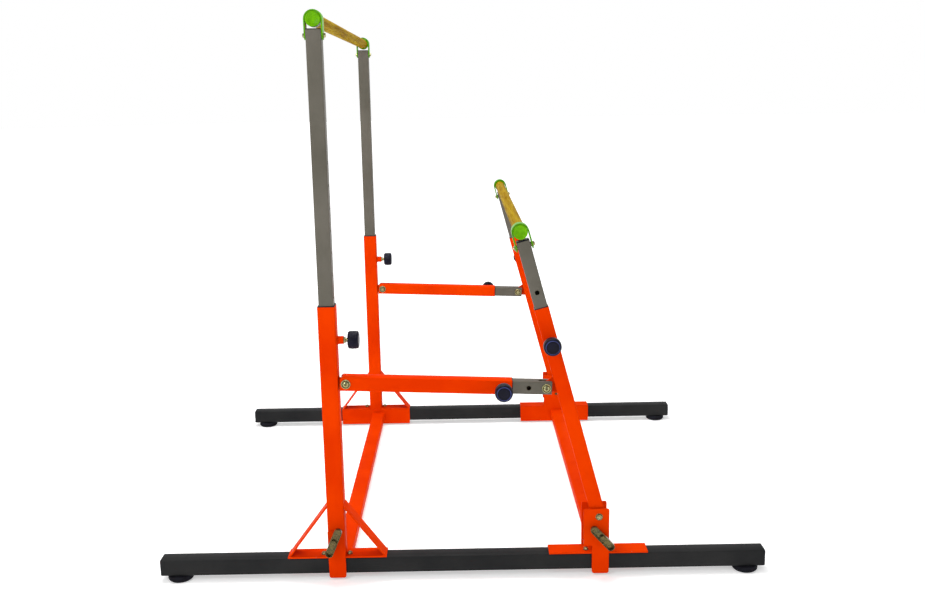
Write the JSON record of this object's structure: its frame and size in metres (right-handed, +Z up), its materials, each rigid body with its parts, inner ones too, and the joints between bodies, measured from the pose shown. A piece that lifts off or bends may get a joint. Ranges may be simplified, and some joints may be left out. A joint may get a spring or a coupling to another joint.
{
  "type": "uneven parallel bars",
  "caption": "Uneven parallel bars: a telescopic high bar and a tilting, telescopic low bar on floor rails, joined by sliding arms with spring pull knobs.",
  "frame": {"origin": "on the floor, midway along the rails and midway between them", "axes": "+X along the rails from the high bar to the low bar, +Y along the bars from the front side to the rear side, +Z up"},
  "size_m": [2.15, 1.859, 1.9553],
  "materials": {
    "black_powder_coat": "satin black powder coat",
    "orange_powder_coat": "glossy orange powder coat",
    "grey_powder_coat": "satin warm grey powder coat",
    "green_powder_coat": "glossy lime green powder coat",
    "green_plastic": "moulded lime green plastic",
    "wood_grain": "clear finished wood",
    "zinc_plate": "yellow zinc plate",
    "black_plastic": "moulded black plastic",
    "black_rubber": "matt black rubber"
  },
  "bodies": {
    "root": {"base_rail_front": "black_powder_coat", "rail_end_cap_front_left": "black_plastic", "rail_end_cap_front_right": "black_plastic", "foot_front_left": "black_rubber", "foot_front_right": "black_rubber", "high_post_bracket_front": "orange_powder_coat", "low_leg_bracket_front": "orange_powder_coat", "high_post_outer_front": "orange_powder_coat", "leg_pivot_bolt_front": "zinc_plate", "base_rail_rear": "black_powder_coat", "rail_end_cap_rear_left": "black_plastic", "rail_end_cap_rear_right": "black_plastic", "foot_rear_left": "black_rubber", "foot_rear_right": "black_rubber", "high_post_bracket_rear": "orange_powder_coat", "low_leg_bracket_rear": "orange_powder_coat", "high_post_outer_rear": "orange_powder_coat", "leg_pivot_bolt_rear": "zinc_plate", "floor_cross_tube_high": "orange_powder_coat", "floor_cross_tube_low": "orange_powder_coat"},
    "high_bar_carriage": {"high_post_inner_front": "grey_powder_coat", "high_bar_saddle_front": "green_powder_coat", "high_bar_saddle_bolt_front": "zinc_plate", "high_bar_end_cap_front": "green_plastic", "high_post_inner_rear": "grey_powder_coat", "high_bar_saddle_rear": "green_powder_coat", "high_bar_saddle_bolt_rear": "zinc_plate", "high_bar_end_cap_rear": "green_plastic", "high_bar": "wood_grain"},
    "low_frame": {"low_leg_outer_front": "orange_powder_coat", "low_leg_outer_rear": "orange_powder_coat"},
    "low_bar_carriage": {"low_leg_inner_front": "grey_powder_coat", "low_bar_saddle_front": "green_powder_coat", "low_bar_saddle_bolt_front": "zinc_plate", "low_bar_end_cap_front": "green_plastic", "low_leg_inner_rear": "grey_powder_coat", "low_bar_saddle_rear": "green_powder_coat", "low_bar_saddle_bolt_rear": "zinc_plate", "low_bar_end_cap_rear": "green_plastic", "low_bar": "wood_grain"},
    "arm_front": {"arm_outer_front": "orange_powder_coat", "arm_pivot_bolt_front": "zinc_plate"},
    "arm_rod_front": {"arm_inner_front": "grey_powder_coat", "arm_end_bolt_front": "zinc_plate", "arm_end_nut_front": "zinc_plate"},
    "post_knob_front": {"post_knob_front": "black_plastic"},
    "leg_knob_front": {"leg_knob_front": "black_plastic"},
    "arm_knob_front": {"arm_knob_front": "black_plastic"},
    "clamp_high_front": {"clamp_handle_high_front": "zinc_plate"},
    "clamp_low_front": {"clamp_handle_low_front": "zinc_plate"},
    "arm_rear": {"arm_outer_rear": "orange_powder_coat", "arm_pivot_bolt_rear": "zinc_plate"},
    "arm_rod_rear": {"arm_inner_rear": "grey_powder_coat", "arm_end_bolt_rear": "zinc_plate", "arm_end_nut_rear": "zinc_plate"},
    "post_knob_rear": {"post_knob_rear": "black_plastic"},
    "leg_knob_rear": {"leg_knob_rear": "black_plastic"},
    "arm_knob_rear": {"arm_knob_rear": "black_plastic"},
    "clamp_high_rear": {"clamp_handle_high_rear": "zinc_plate"},
    "clamp_low_rear": {"clamp_handle_low_rear": "zinc_plate"}
  },
  "joints": [
    {"name": "high_bar_height", "type": "slide", "parent": "root", "child": "high_bar_carriage", "axis": [0, 0, 1], "range_m": [-0.6, 0]},
    {"name": "low_bar_tilt", "type": "hinge", "parent": "root", "child": "low_frame", "pos_m": [0.482, 0, 0.223], "axis": [0, 1, 0], "range_deg": [0, 42]},
    {"name": "low_bar_height", "type": "slide", "parent": "low_frame", "child": "low_bar_carriage", "axis": [-0.2588, 0, 0.9659], "range_m": [-0.178, 0]},
    {"name": "arm_pivot_front", "type": "hinge", "parent": "root", "child": "arm_front", "pos_m": [-0.3885, -0.83, 0.72], "axis": [0, 1, 0], "range_deg": [-2, 0]},
    {"name": "arm_slide_front", "type": "slide", "parent": "arm_front", "child": "arm_rod_front", "axis": [0.9991, 0, -0.0417], "range_m": [0, 0.365]},
    {"name": "arm_pivot_rear", "type": "hinge", "parent": "root", "child": "arm_rear", "pos_m": [-0.3885, 0.83, 0.72], "axis": [0, 1, 0], "range_deg": [-2, 0]},
    {"name": "arm_slide_rear", "type": "slide", "parent": "arm_rear", "child": "arm_rod_rear", "axis": [0.9991, 0, -0.0417], "range_m": [0, 0.365]},
    {"name": "post_knob_pull_front", "type": "slide", "parent": "root", "child": "post_knob_front", "axis": [1, 0, 0], "range_m": [0, 0.012], "stiffness_N_per_m": 800, "springref_m": -0.003},
    {"name": "leg_knob_pull_front", "type": "slide", "parent": "low_frame", "child": "leg_knob_front", "axis": [0, -1, 0], "range_m": [0, 0.012], "stiffness_N_per_m": 800, "springref_m": -0.003},
    {"name": "arm_knob_pull_front", "type": "slide", "parent": "arm_front", "child": "arm_knob_front", "axis": [0, -1, 0], "range_m": [0, 0.012], "stiffness_N_per_m": 800, "springref_m": -0.003},
    {"name": "post_knob_pull_rear", "type": "slide", "parent": "root", "child": "post_knob_rear", "axis": [1, 0, 0], "range_m": [0, 0.012], "stiffness_N_per_m": 800, "springref_m": -0.003},
    {"name": "leg_knob_pull_rear", "type": "slide", "parent": "low_frame", "child": "leg_knob_rear", "axis": [0, 1, 0], "range_m": [0, 0.012], "stiffness_N_per_m": 800, "springref_m": -0.003},
    {"name": "arm_knob_pull_rear", "type": "slide", "parent": "arm_rear", "child": "arm_knob_rear", "axis": [0, 1, 0], "range_m": [0, 0.012], "stiffness_N_per_m": 800, "springref_m": -0.003},
    {"name": "clamp_turn_high_front", "type": "hinge", "parent": "root", "child": "clamp_high_front", "pos_m": [-0.45, -0.83, 0.154], "axis": [0, 1, 0], "continuous": true},
    {"name": "clamp_turn_high_rear", "type": "hinge", "parent": "root", "child": "clamp_high_rear", "pos_m": [-0.45, 0.83, 0.154], "axis": [0, 1, 0], "continuous": true},
    {"name": "clamp_turn_low_front", "type": "hinge", "parent": "root", "child": "clamp_low_front", "pos_m": [0.491, -0.83, 0.154], "axis": [0, 1, 0], "continuous": true},
    {"name": "clamp_turn_low_rear", "type": "hinge", "parent": "root", "child": "clamp_low_rear", "pos_m": [0.491, 0.83, 0.154], "axis": [0, 1, 0], "continuous": true}
  ],
  "couplings": [
    {"joint": "arm_pivot_front", "follows": "low_bar_tilt", "ratio": -0.023138},
    {"joint": "arm_slide_front", "follows": "low_bar_tilt", "m_per_rad": 0.49159},
    {"joint": "arm_pivot_rear", "follows": "low_bar_tilt", "ratio": -0.023138},
    {"joint": "arm_slide_rear", "follows": "low_bar_tilt", "m_per_rad": 0.49159}
  ]
}
